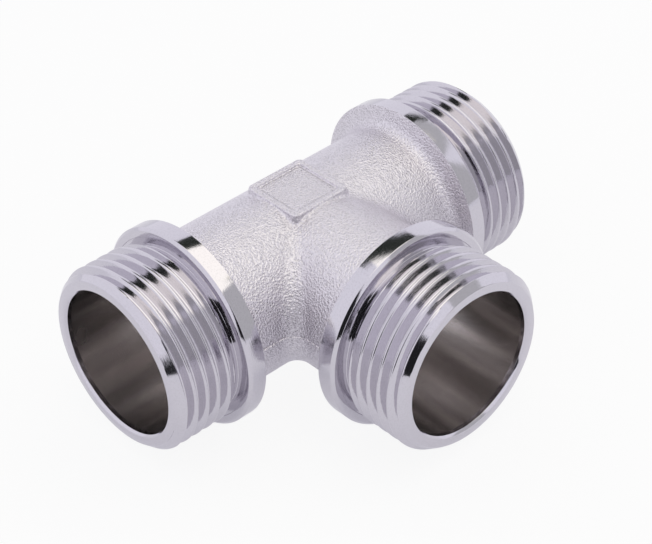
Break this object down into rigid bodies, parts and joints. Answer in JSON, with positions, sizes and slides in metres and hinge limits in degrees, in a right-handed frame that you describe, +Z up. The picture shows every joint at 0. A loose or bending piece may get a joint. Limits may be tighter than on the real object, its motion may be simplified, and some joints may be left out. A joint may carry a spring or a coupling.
{
  "type": "threaded pipe tee",
  "caption": "Equal pipe tee with male parallel pipe threads, round stop collars, a forged body and a square marking pad.",
  "frame": {"origin": "where the three axes meet, in the middle of the body", "axes": "+X along the run, -Y out of the branch, +Z up through the marking pad"},
  "size_m": [0.082, 0.0593, 0.0366],
  "materials": {
    "nickel_plated_brass": "nickel plated: body shot-blasted satin, ends turned and polished"
  },
  "bodies": {
    "root": {"tee_body": "nickel_plated_brass"}
  },
  "joints": []
}
